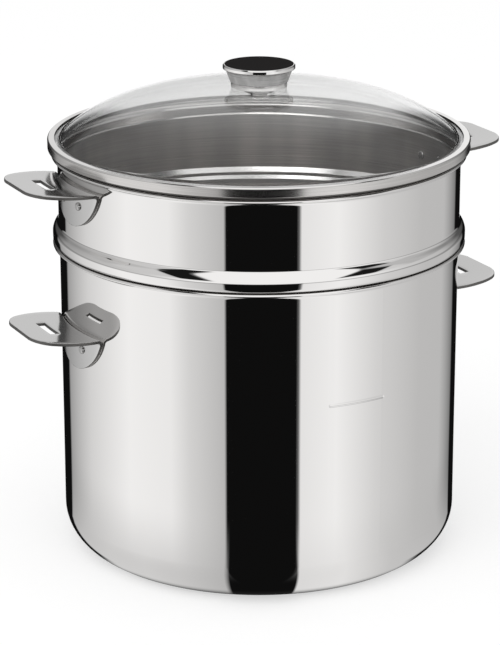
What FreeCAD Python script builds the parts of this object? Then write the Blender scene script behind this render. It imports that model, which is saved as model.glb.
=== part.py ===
import FreeCAD, Part
import math
import os

# Pasta pot with a strainer insert and a domed glass lid, in millimetres.
# The origin is the centre of the base, on the surface that the pot stands on.
# +Z is up and the handles point along X.

# Pot shell
pot_inside_diameter = 220.0
pot_sheet = 0.8
pot_height = 177.5
bottom_corner = 23.0
floor_bend = 6.0

# Sandwich base under the pot's floor
base_cap_sheet = 0.6
base_core_thickness = 5.0

# Flared pouring rim, alike on the pot and on the insert
rim_reach = 3.6
rim_flare = 2.4
rim_lip = 1.6

# Insert collar, the wall that stands above the pot
insert_sheet = 0.8
insert_rise = 50.1
collar_step = 0.35
bead_height = 10.7
bead_reach = 3.25
bead_round = 2.2
bead_slope_deg = 60.0
neck_depth = 12.0

# Strainer basket, hung inside the pot from the collar's neck
basket_sheet = 0.8
basket_lift = 30.0
basket_corner = 12.0
weld_lap = 6.0
shoulder_drop = 3.0
shoulder_slope_deg = 45.0
hole_diameter = 6.0
hole_rows = 5
hole_columns = 20
hole_margin = 12.0
floor_rings = 3
floor_hole_span = 81.0

# Sheet-steel handles
handle_sheet = 1.8
handle_reach = 33.2
handle_root_width = 55.0
handle_width = 61.0
handle_widest = 13.0
handle_end_width = 40.0
handle_corner = 7.0
handle_bend = 3.5
handle_tilt_deg = 5.0
tongue_depth = 22.5
slot_distance = 17.2
slot_length = 21.0
slot_width = 5.0
slot_corner = 1.0
pot_handle_height = 139.5
insert_handle_drop = 7.8

# Rivets
rivet_spacing = 20.0
rivet_drop = 10.0
rivet_shank_diameter = 3.2
rivet_head_diameter = 4.5
rivet_head_height = 1.2
rivet_inner_diameter = 5.2
rivet_inner_height = 0.9

# Lid glass and the steel band round its edge
band_sheet = 0.5
band_overhang = 1.9
band_step = 1.8
band_lap = 3.8
band_round = 1.6
seat_inset = 1.0
skirt_depth = 5.4
glass_thickness = 4.0
glass_flange = 5.5
glass_chamfer = 1.2
dome_rise = 28.2
glass_hole_diameter = 7.0

# Lid knob and what holds it
knob_ring_diameter = 31.0
knob_ring_height = 2.4
knob_foot_diameter = 32.0
knob_foot_chamfer = 0.4
knob_shoulder_diameter = 36.8
knob_diameter = 39.8
knob_height = 9.4
knob_rim_height = 2.3
knob_rim_chamfer = 0.6
inlay_diameter = 37.8
inlay_thickness = 1.0
gasket_diameter = 24.0
gasket_thickness = 0.8
screw_gasket_diameter = 18.0
screw_gasket_thickness = 1.2
washer_diameter = 16.0
washer_thickness = 1.0
screw_diameter = 5.0
screw_grip = 5.0
screw_head_diameter = 9.2
screw_head_height = 2.6

# Clearances
seat_clearance = 0.3
neck_clearance = 0.6
basket_clearance = 2.7
skirt_clearance = 1.45
glass_clearance = 0.2
skin_gap = 0.05
overrun = 5.0

# Sizes that follow from those above
origin = FreeCAD.Vector()
up = FreeCAD.Vector(0, 0, 1)
full_turn = 360.0

pot_inside = pot_inside_diameter / 2
pot_outside = pot_inside + pot_sheet
rim_radius = pot_outside + rim_reach
base_seam = base_cap_sheet + base_core_thickness
pot_floor = base_seam + pot_sheet

insert_outside = pot_outside + collar_step
insert_inside = insert_outside - insert_sheet
insert_seat = pot_height + seat_clearance
insert_top = pot_height + insert_rise
neck_radius = pot_inside - neck_clearance
neck_bottom = insert_seat - neck_depth

basket_radius = pot_inside - rivet_inner_height - basket_clearance
basket_floor = pot_floor + basket_lift
lap_radius = neck_radius - insert_sheet - skin_gap
shoulder_top = neck_bottom - shoulder_drop
shoulder_bottom = shoulder_top - (lap_radius - basket_radius) / math.tan(math.radians(shoulder_slope_deg))

lid_seat = insert_top + seat_clearance
band_radius = rim_radius + band_overhang
skirt_radius = insert_inside - skirt_clearance
glass_edge = band_radius - band_sheet - glass_clearance
flange_bottom = lid_seat + band_step + band_sheet + glass_clearance
flange_top = flange_bottom + glass_thickness
band_top = flange_top + glass_clearance + band_sheet
dome_radius = glass_edge - glass_flange
dome_sphere = (dome_radius ** 2 + dome_rise ** 2) / (2 * dome_rise)
dome_apex = flange_top + dome_rise
dome_centre = FreeCAD.Vector(0, 0, dome_apex - dome_sphere)
dome_under = dome_sphere - glass_thickness

knob_bottom = dome_apex + knob_ring_height + skin_gap
knob_top = knob_bottom + knob_height
washer_top = dome_apex - glass_thickness - screw_gasket_thickness
screw_seat = washer_top - skin_gap - washer_thickness - skin_gap


# Outlines and turned solids

def at(corner):
    """Place of a (radius, height, rounding) corner in the XZ plane."""
    return FreeCAD.Vector(corner[0], 0, corner[1])


def rounding(corner):
    """Rounding radius of a corner, zero where it has none."""
    return corner[2] if len(corner) > 2 else 0


def corner_edges(corners):
    """Edges of a closed outline through the corners, with each rounding as a tangent arc."""
    joints = []
    for index, corner in enumerate(corners):
        here = at(corner)
        back = (at(corners[index - 1]) - here).normalize()
        ahead = (at(corners[(index + 1) % len(corners)]) - here).normalize()
        radius = rounding(corner)
        if radius == 0:
            joints.append((here, None, here))
            continue
        half = back.getAngle(ahead) / 2
        inwards = (back + ahead).normalize()
        trim = radius / math.tan(half)
        crown = here + inwards * (radius / math.sin(half) - radius)
        joints.append((here + back * trim, crown, here + ahead * trim))
    edges = []
    for index, (start, crown, end) in enumerate(joints):
        if crown is not None:
            edges.append(Part.Arc(start, crown, end).toShape())
        following = joints[(index + 1) % len(joints)][0]
        if not end.isEqual(following, FreeCAD.Base.Precision.confusion()):
            edges.append(Part.LineSegment(end, following).toShape())
    return edges


def turned(corners):
    """Solid turned about the Z axis from a closed outline."""
    face = Part.Face(Part.Wire(corner_edges(corners)))
    return face.revolve(origin, up, full_turn)


def moved_aside(corners, distance):
    """An open corner path moved to its left, with its roundings kept concentric."""
    moved = []
    for index, corner in enumerate(corners):
        here = at(corner)
        ways = []
        if index > 0:
            ways.append((here - at(corners[index - 1])).normalize())
        if index < len(corners) - 1:
            ways.append((at(corners[index + 1]) - here).normalize())
        lefts = [FreeCAD.Vector(-way.z, 0, way.x) for way in ways]
        aside = lefts[0] + lefts[-1]
        place = here + aside * (distance / (1 + lefts[0].dot(lefts[-1])))
        radius = rounding(corner)
        if radius > 0:
            left_turn = ways[0].x * ways[-1].z - ways[0].z * ways[-1].x > 0
            radius = radius - distance if left_turn else radius + distance
        moved.append((place.x, place.z, max(radius, 0)))
    return moved


def sheet_outline(path, sheet):
    """Closed outline of a sheet that has the path as one face and lies to the path's left."""
    return path + moved_aside(path, sheet)[::-1]


def disc(radius, low, high):
    """Upright cylinder between two heights."""
    return Part.makeCylinder(radius, high - low, FreeCAD.Vector(0, 0, low))


def ring(outside, inside, low, high):
    """Upright washer between two heights."""
    return disc(outside, low, high).cut(disc(inside, low - overrun, high + overrun))


def rim_corners(wall, top):
    """Flared rim on a wall, from under the lip round to the lip's outer top edge."""
    lip = top - rim_lip
    return [(wall, lip, rim_flare), (rim_radius, lip), (rim_radius, top)]


def about_axis(shape, degrees):
    """Copy of a shape turned about the Z axis."""
    return shape.copy().rotate(origin, up, degrees)


# Pot

def pot_form(inset):
    """The pot's outside below its rim, moved inwards by inset."""
    radius = pot_outside - inset
    corner = (radius, inset, bottom_corner - inset)
    return turned([(0, inset), corner, (radius, pot_height), (0, pot_height)])


def pot_shell():
    """Drawn shell: flat floor above the base, round corner, straight wall and flared rim."""
    outside = turned(
        [(0, 0), (pot_outside, 0, bottom_corner)]
        + rim_corners(pot_outside, pot_height)
        + [(0, pot_height)]
    )
    outside = outside.cut(disc(rim_radius, -overrun, base_seam))
    past_rim = rim_radius + overrun
    above_rim = pot_height + overrun
    hollow = turned([
        (0, pot_sheet),
        (pot_inside, pot_sheet, bottom_corner - pot_sheet),
        (pot_inside, pot_height, rim_flare),
        (past_rim, pot_height),
        (past_rim, above_rim),
        (0, above_rim),
    ])
    hollow = hollow.cut(disc(rim_radius, -overrun, pot_floor))
    bend = [edge for edge in hollow.Edges if edge.BoundBox.ZMax < pot_floor + skin_gap]
    return outside.cut(hollow.makeFillet(floor_bend, bend))


def base_core():
    """Heat-spreading disc that fills the base up to the shell's floor."""
    return pot_form(base_cap_sheet).common(disc(pot_outside, 0, base_seam))


def base_cap():
    """Thin dish that closes the core in and carries the pot's corner down to the underside."""
    return pot_form(0).common(disc(pot_outside, 0, base_seam)).cut(pot_form(base_cap_sheet))


# Insert

def insert_collar():
    """Upper wall of the insert, with the rolled bead that sits on the pot's rim."""
    bead = insert_outside + bead_reach
    slope = bead_reach / math.tan(math.radians(bead_slope_deg))
    shoulder = insert_seat + bead_height - bead_round * math.tan(math.radians(bead_slope_deg / 2))
    path = [
        (neck_radius, neck_bottom),
        (neck_radius, insert_seat),
        (bead, insert_seat, bead_round),
        (bead, shoulder - slope, bead_round),
        (insert_outside, shoulder, bead_round),
        (insert_outside, insert_top),
    ]
    inner = moved_aside(path, insert_sheet)
    mouth = (insert_inside, insert_top, rim_flare)
    return turned(path[:-1] + rim_corners(insert_outside, insert_top) + [mouth] + inner[-2::-1])


def basket_holes():
    """Cutters for the staggered rows round the wall and the rings in the floor."""
    radius = hole_diameter / 2
    lowest = basket_floor + basket_corner + hole_margin
    row_pitch = (shoulder_bottom - hole_margin - lowest) / (hole_rows - 1)
    cutters = []
    for row in range(hole_rows):
        start = FreeCAD.Vector(basket_radius - overrun, 0, lowest + row * row_pitch)
        cutter = Part.makeCylinder(radius, 2 * overrun, start, FreeCAD.Vector(1, 0, 0))
        for column in range(hole_columns):
            stagger = column + (row % 2) / 2
            cutters.append(about_axis(cutter, full_turn * stagger / hole_columns))
    depth = 2 * overrun
    for ring_index in range(floor_rings + 1):
        place = FreeCAD.Vector(floor_hole_span * ring_index / floor_rings, 0, basket_floor - overrun)
        cutter = Part.makeCylinder(radius, depth, place)
        count = max(6 * ring_index, 1)
        cutters += [about_axis(cutter, full_turn * step / count) for step in range(count)]
    return cutters


def strainer_basket():
    """Perforated cup whose top edge is welded inside the collar's neck."""
    path = [
        (0, basket_floor),
        (basket_radius, basket_floor, basket_corner),
        (basket_radius, shoulder_bottom),
        (lap_radius, shoulder_top),
        (lap_radius, neck_bottom + weld_lap),
    ]
    return turned(sheet_outline(path, basket_sheet)).cut(Part.makeCompound(basket_holes()))


# Handles and rivets

def plan_cutter(wall, low, high):
    """Upright block with the handle's outline as seen from above."""
    tip = wall + handle_reach
    root = handle_root_width / 2
    widest = handle_width / 2
    end = handle_end_width / 2
    middle = wall + handle_widest

    def flat(x, y):
        return FreeCAD.Vector(x, y, low)

    outline = Part.Wire([
        Part.LineSegment(flat(0, -root), flat(wall, -root)).toShape(),
        Part.Arc(flat(wall, -root), flat(middle, -widest), flat(tip, -end)).toShape(),
        Part.LineSegment(flat(tip, -end), flat(tip, end)).toShape(),
        Part.Arc(flat(tip, end), flat(middle, widest), flat(wall, root)).toShape(),
        Part.LineSegment(flat(wall, root), flat(0, root)).toShape(),
        Part.LineSegment(flat(0, root), flat(0, -root)).toShape(),
    ])
    block = Part.Face(outline).extrude(up * (high - low))
    return block.makeFillet(handle_corner, upright_edges(block, tip))


def upright_edges(block, beyond):
    """Upright edges of a block that stand at least as far out along X as a given distance."""
    return [
        edge for edge in block.Edges
        if edge.BoundBox.XMin > beyond - skin_gap and edge.BoundBox.ZLength > edge.BoundBox.YLength
    ]


def tongue_cutter(wall, top):
    """Block with the rounded tongue's outline as seen from the front, and room for the plate above."""
    root = handle_root_width / 2
    side = handle_width / 2 + overrun
    above = top + handle_reach
    chord = top - handle_bend

    def upright(y, z):
        return FreeCAD.Vector(0, y, z)

    outline = Part.Wire([
        Part.Arc(upright(-root, chord), upright(0, top - tongue_depth), upright(root, chord)).toShape(),
        Part.LineSegment(upright(root, chord), upright(side, chord)).toShape(),
        Part.LineSegment(upright(side, chord), upright(side, above)).toShape(),
        Part.LineSegment(upright(side, above), upright(-side, above)).toShape(),
        Part.LineSegment(upright(-side, above), upright(-side, chord)).toShape(),
        Part.LineSegment(upright(-side, chord), upright(-root, chord)).toShape(),
    ])
    return Part.Face(outline).extrude(FreeCAD.Vector(wall + handle_reach + overrun, 0, 0))


def slot_cutter(wall, low, high):
    """Block for the slot that lies across the plate, parallel to the wall."""
    corner = FreeCAD.Vector(wall + slot_distance - slot_width / 2, -slot_length / 2, low)
    block = Part.makeBox(slot_width, slot_length, high - low, corner)
    uprights = [edge for edge in block.Edges if edge.BoundBox.ZLength > slot_length]
    return block.makeFillet(slot_corner, uprights)


def rivet_angles(wall):
    """Turns about the Z axis that set a handle's two rivets apart."""
    half = math.degrees(math.asin(rivet_spacing / 2 / wall))
    return [-half, half]


def rivet_hole(wall, top):
    """Radial cutter for a rivet's shank on the X axis."""
    start = FreeCAD.Vector(wall - overrun, 0, top - rivet_drop)
    radius = rivet_shank_diameter / 2 + skin_gap
    return Part.makeCylinder(radius, 2 * overrun, start, FreeCAD.Vector(1, 0, 0))


def drilled(piece, wall, top, sides):
    """A piece with the rivet holes of the handles on the given sides cut through it."""
    holes = [
        about_axis(rivet_hole(wall, top), side + angle)
        for side in sides
        for angle in rivet_angles(wall)
    ]
    return piece.cut(Part.makeCompound(holes))


def handle(wall, top):
    """Bent plate on the +X side: a tongue along the wall, a bend and a slotted grip."""
    face = wall + skin_gap
    tip = wall + handle_reach + overrun
    low = top - tongue_depth - overrun
    rise = (tip - face) * math.tan(math.radians(handle_tilt_deg))
    path = [(face, low), (face, top, handle_bend), (tip, top + rise)]
    section = Part.Face(Part.Wire(corner_edges(sheet_outline(path, -handle_sheet))))
    reach_deg = math.degrees(math.asin((handle_width / 2 + overrun) / wall))
    strip = about_axis(section, -reach_deg).revolve(origin, up, 2 * reach_deg)
    high = top + handle_reach
    plate = strip.common(plan_cutter(wall, low, high)).common(tongue_cutter(wall, top))
    return drilled(plate.cut(slot_cutter(wall, top - tongue_depth, high)), wall, top, [0])


def rivet(wall, sheet, top):
    """Rivet on the X axis, headed inside the wall and over the tongue."""
    inner_seat = wall - sheet - skin_gap
    outer_seat = wall + skin_gap + handle_sheet + skin_gap
    inner_head = rivet_inner_diameter / 2
    shank = rivet_shank_diameter / 2
    head = rivet_head_diameter / 2
    body = turned([
        (0, inner_seat - rivet_inner_height),
        (inner_head, inner_seat - rivet_inner_height),
        (inner_head, inner_seat),
        (shank, inner_seat),
        (shank, outer_seat),
        (head, outer_seat),
        (head, outer_seat + rivet_head_height),
        (0, outer_seat + rivet_head_height),
    ])
    body.rotate(origin, FreeCAD.Vector(0, 1, 0), full_turn / 4)
    return body.translate(FreeCAD.Vector(0, 0, top - rivet_drop))


def rivet_pair(wall, sheet, top, side):
    """The two rivets of one handle, as separate solids."""
    one = rivet(wall, sheet, top)
    return Part.makeCompound([about_axis(one, side + angle) for angle in rivet_angles(wall)])


# Lid

def on_dome(sphere, radius):
    """Place on a dome that shares the glass's centre, at a distance from the axis."""
    return FreeCAD.Vector(radius, 0, dome_centre.z + math.sqrt(sphere ** 2 - radius ** 2))


def lid_glass():
    """Domed glass with a flat flange round it and a hole for the knob's screw."""
    hole = glass_hole_diameter / 2
    under_edge = math.sqrt(dome_under ** 2 - (flange_bottom - dome_centre.z) ** 2)
    top_arc = [on_dome(dome_sphere, r) for r in (hole, dome_radius / 2, dome_radius)]
    under_arc = [on_dome(dome_under, r) for r in (under_edge, under_edge / 2, hole)]
    ground_edge = [
        FreeCAD.Vector(glass_edge - glass_chamfer, 0, flange_top),
        FreeCAD.Vector(glass_edge, 0, flange_top - glass_chamfer),
        FreeCAD.Vector(glass_edge, 0, flange_bottom + glass_chamfer),
        FreeCAD.Vector(glass_edge - glass_chamfer, 0, flange_bottom),
    ]
    outline = Part.Wire([
        Part.Arc(*top_arc).toShape(),
        *Part.makePolygon([top_arc[-1], *ground_edge, under_arc[0]]).Edges,
        Part.Arc(*under_arc).toShape(),
        Part.LineSegment(under_arc[-1], top_arc[0]).toShape(),
    ])
    return Part.Face(outline).revolve(origin, up, full_turn)


def lid_band():
    """Rolled channel that grips the glass, steps down to the insert's rim and ends in a skirt."""
    step = rim_radius - seat_inset
    path = [
        (skirt_radius, lid_seat - skirt_depth),
        (skirt_radius, lid_seat),
        (step, lid_seat),
        (step, lid_seat + band_step),
        (band_radius, lid_seat + band_step, band_round / 2),
        (band_radius, band_top, band_round),
        (band_radius - band_lap, band_top),
    ]
    return turned(sheet_outline(path, band_sheet))


def dome_ball(radius):
    """Ball that shares the glass dome's centre."""
    return Part.makeSphere(radius, dome_centre)


def knob_gasket():
    """Soft washer between the glass and the ring under the knob."""
    washer = ring(gasket_diameter / 2, glass_hole_diameter / 2, dome_apex - overrun, dome_apex + gasket_thickness)
    return washer.cut(dome_ball(dome_sphere + skin_gap))


def knob_ring():
    """Steel ring at the knob's foot, hollowed below to follow the glass and cover the gasket."""
    bore = screw_diameter / 2 + skin_gap
    body = ring(knob_ring_diameter / 2, bore, dome_apex - overrun, dome_apex + knob_ring_height)
    pocket = disc(gasket_diameter / 2 + skin_gap, dome_apex - overrun, dome_apex + gasket_thickness + skin_gap)
    return body.cut(pocket).cut(dome_ball(dome_sphere + skin_gap))


def knob_body():
    """Low cone that widens to a chamfered rim, with a shallow seat on top for the inlay."""
    foot = knob_foot_diameter / 2
    shoulder = knob_shoulder_diameter / 2
    edge = knob_diameter / 2
    seat = inlay_diameter / 2 + skin_gap
    rim = knob_top - knob_rim_height
    body = turned([
        (0, knob_bottom),
        (foot - knob_foot_chamfer, knob_bottom),
        (foot, knob_bottom + knob_foot_chamfer),
        (shoulder, rim - knob_rim_chamfer),
        (edge, rim),
        (edge, knob_top - knob_rim_chamfer),
        (edge - knob_rim_chamfer, knob_top),
        (seat, knob_top),
        (seat, knob_top - inlay_thickness - skin_gap),
        (0, knob_top - inlay_thickness - skin_gap),
    ])
    bore = disc(screw_diameter / 2 + skin_gap, knob_bottom - overrun, knob_bottom + screw_grip + skin_gap)
    return body.cut(bore)


def knob_inlay():
    """Dark disc set flush into the knob's top."""
    return disc(inlay_diameter / 2, knob_top - inlay_thickness, knob_top)


def screw_gasket():
    """Soft washer between the glass and the screw's washer."""
    washer = ring(screw_gasket_diameter / 2, glass_hole_diameter / 2, washer_top, dome_apex)
    return washer.common(dome_ball(dome_under - skin_gap))


def screw_washer():
    """Steel washer that spreads the screw's load."""
    top = washer_top - skin_gap
    return ring(washer_diameter / 2, screw_diameter / 2 + skin_gap, top - washer_thickness, top)


def knob_screw():
    """Screw that comes up through the glass into the knob."""
    shank = screw_diameter / 2
    head = screw_head_diameter / 2
    return turned([
        (0, screw_seat - screw_head_height),
        (head, screw_seat - screw_head_height, screw_head_height / 2),
        (head, screw_seat),
        (shank, screw_seat),
        (shank, knob_bottom + screw_grip),
        (0, knob_bottom + screw_grip),
    ])


# Every piece under its own name

left = full_turn / 2
right = 0
pot_rivets = (pot_outside, pot_sheet, pot_handle_height)
insert_handle_height = insert_top - insert_handle_drop
insert_rivets = (insert_outside, insert_sheet, insert_handle_height)
pot_handle = handle(pot_outside, pot_handle_height)
insert_handle = handle(insert_outside, insert_handle_height)

pieces = {
    "pot_shell": drilled(pot_shell(), pot_outside, pot_handle_height, [left, right]),
    "base_core": base_core(),
    "base_cap": base_cap(),
    "pot_handle_left": about_axis(pot_handle, left),
    "pot_handle_right": pot_handle,
    "pot_rivets_left": rivet_pair(*pot_rivets, left),
    "pot_rivets_right": rivet_pair(*pot_rivets, right),
    "insert_collar": drilled(insert_collar(), insert_outside, insert_handle_height, [left, right]),
    "strainer_basket": strainer_basket(),
    "insert_handle_left": about_axis(insert_handle, left),
    "insert_handle_right": insert_handle,
    "insert_rivets_left": rivet_pair(*insert_rivets, left),
    "insert_rivets_right": rivet_pair(*insert_rivets, right),
    "lid_glass": lid_glass(),
    "lid_band": lid_band(),
    "knob_gasket": knob_gasket(),
    "knob_ring": knob_ring(),
    "knob_body": knob_body(),
    "knob_inlay": knob_inlay(),
    "screw_gasket": screw_gasket(),
    "screw_washer": screw_washer(),
    "knob_screw": knob_screw(),
}

os.makedirs("parts", exist_ok=True)
for name, piece in pieces.items():
    piece.exportStep(f"parts/{name}.step")
    print(name, "solids", len(piece.Solids), "volume", round(piece.Volume), "valid", piece.isValid())
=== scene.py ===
# %% [markdown]
# # A pasta pot with a strainer insert and a glass lid
# The object is a tall polished steel pot. A strainer insert hangs in it and stands on its rim, and a
# domed glass lid lies on the insert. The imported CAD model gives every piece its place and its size.
# This lesson remakes the pieces that show with smooth meshes, because polished steel is a mirror and
# a mirror shows every flat facet.

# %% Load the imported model
import math

import bmesh
import bpy
from mathutils import Matrix, Vector


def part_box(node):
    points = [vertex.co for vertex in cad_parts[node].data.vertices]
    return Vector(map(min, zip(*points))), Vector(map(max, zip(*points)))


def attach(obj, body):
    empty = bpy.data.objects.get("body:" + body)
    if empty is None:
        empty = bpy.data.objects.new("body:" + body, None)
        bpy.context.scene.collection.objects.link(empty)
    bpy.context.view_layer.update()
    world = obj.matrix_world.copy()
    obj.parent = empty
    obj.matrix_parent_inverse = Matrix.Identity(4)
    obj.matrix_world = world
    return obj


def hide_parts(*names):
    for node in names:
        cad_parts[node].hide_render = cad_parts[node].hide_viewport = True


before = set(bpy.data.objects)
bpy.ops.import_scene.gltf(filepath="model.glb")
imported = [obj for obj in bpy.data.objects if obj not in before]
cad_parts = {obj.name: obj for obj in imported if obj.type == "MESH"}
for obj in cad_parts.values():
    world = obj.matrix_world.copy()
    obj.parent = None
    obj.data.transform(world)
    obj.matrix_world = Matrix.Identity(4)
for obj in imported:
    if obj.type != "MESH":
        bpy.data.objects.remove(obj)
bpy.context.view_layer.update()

scene = bpy.context.scene
mm = 0.001

# %% [markdown]
# The camera comes first, so that every later render can be laid beside the photograph. It stands to
# the left of the pot's front and looks down on it through a long lens. A long lens keeps the wall
# nearly straight. The small sideways shift puts the pot as far right of the middle as it is there.

# %% Camera
photo_height_px = 645
camera_turn = math.radians(-26.65)
camera_distance = 1.400
camera_height = 0.5763
camera_pitch = math.radians(17.83)
focal_px = 2612
pot_right_of_middle_px = 9
sensor_mm = 36

lens = bpy.data.cameras.new("camera")
lens.sensor_width = sensor_mm
lens.lens = lens.sensor_width * focal_px / photo_height_px
lens.shift_x = -pot_right_of_middle_px / photo_height_px
camera = bpy.data.objects.new("camera", lens)
camera.location = (
    camera_distance * math.sin(camera_turn),
    -camera_distance * math.cos(camera_turn),
    camera_height,
)
camera.rotation_euler = (math.pi / 2 - camera_pitch, 0, camera_turn)
scene.collection.objects.link(camera)
scene.camera = camera
scene.view_settings.view_transform = "Standard"
print("lens", round(lens.lens, 1), "mm")

# %% [markdown]
# A photographer lights polished metal by building something for it to mirror. Here that is a white
# tent: the metal sees pale cloth almost all round, a black card in front, dark cards at the back left
# and right, dark gaps beside the front of the roof, and a plain roof behind. A world shader can hold
# the tent as colour ramps that run round the compass, so no picture of a room is needed. Each stop is
# a degree, counted from the camera's side to the right, and a grey.

# %% Colour ramps of the tent
table_greys = [
    (-180, 1.0), (-172, 1.0), (-170, 0.005), (-146, 0.005), (-144, 0.36), (-115, 0.73), (-80, 0.99),
    (-52, 0.94), (-40, 0.74), (-19.2, 0.55), (-18.6, 0.005), (22.4, 0.005), (23, 0.88), (45, 0.98),
    (75, 0.70), (105, 0.57), (130, 0.55), (149, 0.22), (151, 0.005), (170, 0.005), (172, 1.0),
    (180, 1.0),
]
cloth_greys = [
    (-180, 0.76), (-169, 0.76), (-165, 0.05), (-146, 0.08), (-134, 0.32), (-105, 0.52), (-62, 0.68),
    (-36, 1.0), (58, 1.0), (84, 0.70), (120, 0.55), (146, 0.10), (165, 0.05), (169, 1.0), (174, 0.95),
    (180, 0.76),
]
front_roof_greys = [
    (-180, 1.0), (-150, 1.0), (-130, 0.62), (-34, 0.66), (-32.5, 0.01), (-20, 0.01), (-18, 1.0),
    (32, 1.0), (34, 0.01), (51, 0.01), (53, 0.68), (130, 0.62), (150, 1.0), (180, 1.0),
]
back_roof_greys = [
    (-180, 0.70), (-172, 0.66), (-156, 0.26), (-135, 0.30), (-110, 0.50), (110, 0.50), (135, 0.26),
    (156, 0.22), (168, 0.84), (174, 0.84), (180, 0.70),
]
horizon_shade = [(-0.14, 1.0), (-0.08, 0.55), (0.0, 0.55), (0.07, 1.0)]
shaded_part = [(-180, 0.0), (-169, 0.0), (-165, 1.0), (165, 1.0), (169, 0.0), (180, 0.0)]
print("stops:", len(table_greys), "table,", len(cloth_greys), "cloth,", len(front_roof_greys), "roof")

# %% [markdown]
# Every shader here is a small net of nodes, and the same few nodes come back in all of them. They
# could be written out each time. Short helpers read better: each makes one node, feeds it with sockets
# or plain values, and returns the socket of its result.

# %% Node helpers
full_circle = 360


def fill_ramp(ramp, stops, span):
    """Set a ramp's stops from (value, grey) pairs, where the values run over a span about nought."""
    elements = ramp.color_ramp.elements
    while len(elements) > 1:
        elements.remove(elements[-1])
    for index, (value, grey) in enumerate(stops):
        place = value / span + 0.5
        element = elements[0] if index == 0 else elements.new(place)
        element.position = place
        element.color = (grey, grey, grey, 1)


def join(tree, *pairs):
    """Link each (output, input) pair of a node tree."""
    for output, socket in pairs:
        tree.links.new(output, socket)


def feed(tree, socket, value):
    """Link a socket to another one, or set it to a plain value."""
    if isinstance(value, bpy.types.NodeSocket):
        tree.links.new(value, socket)
    else:
        socket.default_value = value


def as_grey(value):
    """A number as a grey colour. A socket stays as it is."""
    return value if isinstance(value, bpy.types.NodeSocket) else (value, value, value, 1)


def mixed(tree, factor, one, other, blend="MIX"):
    """Mix two colours by a factor and return the result's socket: numbers stand for greys."""
    node = tree.nodes.new("ShaderNodeMix")
    node.data_type = "RGBA"
    node.blend_type = blend
    sides = [socket for socket in node.inputs if socket.type == "RGBA"]
    feed(tree, node.inputs["Factor"], factor)
    feed(tree, sides[0], as_grey(one))
    feed(tree, sides[1], as_grey(other))
    return [socket for socket in node.outputs if socket.type == "RGBA"][0]


def worked_out(tree, operation, one, other):
    """A Math node's result from two sockets or numbers."""
    node = tree.nodes.new("ShaderNodeMath")
    node.operation = operation
    feed(tree, node.inputs[0], one)
    feed(tree, node.inputs[1], other)
    return node.outputs["Value"]


def vector_result(tree, operation, *values):
    """A Vector Math node's result from sockets or fixed vectors."""
    node = tree.nodes.new("ShaderNodeVectorMath")
    node.operation = operation
    for socket, value in zip(node.inputs, values):
        feed(tree, socket, value)
    return node.outputs["Value" if operation in ("DOT_PRODUCT", "LENGTH") else "Vector"]


def rescaled(tree, value, low, high, soft=True):
    """A Map Range node's share of the way from low to high, with a soft start and end."""
    node = tree.nodes.new("ShaderNodeMapRange")
    node.interpolation_type = "SMOOTHSTEP" if soft else "LINEAR"
    node.inputs["From Min"].default_value = low
    node.inputs["From Max"].default_value = high
    tree.links.new(value, node.inputs["Value"])
    return node.outputs["Result"]


def compass_ramp(tree, vector, stops):
    """A ramp's colour that runs round the upright axis, counted from the camera's side."""
    front = tree.nodes.new("ShaderNodeMapping")
    front.inputs["Rotation"].default_value[2] = math.pi / 2 - camera_turn
    compass = tree.nodes.new("ShaderNodeTexGradient")
    compass.gradient_type = "RADIAL"
    ramp = tree.nodes.new("ShaderNodeValToRGB")
    fill_ramp(ramp, stops, full_circle)
    join(
        tree, (vector, front.inputs["Vector"]), (front.outputs["Vector"], compass.inputs["Vector"]),
        (compass.outputs["Fac"], ramp.inputs["Fac"]),
    )
    return ramp.outputs["Color"]


# %% [markdown]
# The tent's ramps are laid over each other by the height that a ray points to: the table below the
# horizon, the cloth above it, then the roof. The front of the roof is counted on a compass that leans
# towards the camera, so that its gaps stay straight. The back of the roof only fades towards the
# zenith. A darker strip along the horizon gives round edges an outline.

# %% Tent
height_ends = (-1, 1)
horizon = (-0.06, 0.02)
roof_start = (0.26, 0.36)
roof_front = (-0.12, 0.06)
zenith = (0.42, 0.85)
zenith_grey = 0.55
to_camera = Vector((math.sin(camera_turn), -math.cos(camera_turn), 0))

world = bpy.data.worlds.new("white_tent")
scene.world = world
world.use_nodes = True
world.cycles.sampling_method = "NONE"
tent = world.node_tree
tent.nodes.clear()
direction = tent.nodes.new("ShaderNodeTexCoord").outputs["Generated"]
split = tent.nodes.new("ShaderNodeSeparateXYZ")
join(tent, (direction, split.inputs["Vector"]))
height = split.outputs["Z"]
shade = tent.nodes.new("ShaderNodeValToRGB")
fill_ramp(shade, horizon_shade, height_ends[1] - height_ends[0])
join(tent, (rescaled(tent, height, *height_ends, soft=False), shade.inputs["Fac"]))

table = compass_ramp(tent, direction, table_greys)
cloth = compass_ramp(tent, direction, cloth_greys)
cloth = mixed(tent, rescaled(tent, height, *horizon), table, cloth)
back_roof = compass_ramp(tent, direction, back_roof_greys)
back_roof = mixed(tent, rescaled(tent, height, *zenith), back_roof, zenith_grey)
leaning = vector_result(tent, "MULTIPLY_ADD", height, to_camera, direction)
front_roof = compass_ramp(tent, leaning, front_roof_greys)
nearness = vector_result(tent, "DOT_PRODUCT", direction, to_camera)
roof = mixed(tent, rescaled(tent, nearness, *roof_front), back_roof, front_roof)
cloth = mixed(tent, rescaled(tent, height, *roof_start), cloth, roof)
shaded = mixed(tent, 1.0, cloth, shade.outputs["Color"], "MULTIPLY")
cloth = mixed(tent, compass_ramp(tent, direction, shaded_part), cloth, shaded)
print("tent:", len(tent.nodes), "nodes")

# %% [markdown]
# Mirror rays see the tent, and so do rays that were mirrored inside the pot and leave it through the
# lid. All others see plain white, so the background is white and the light stays soft. The Light Path
# node tells the rays apart, so one world is enough.

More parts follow.
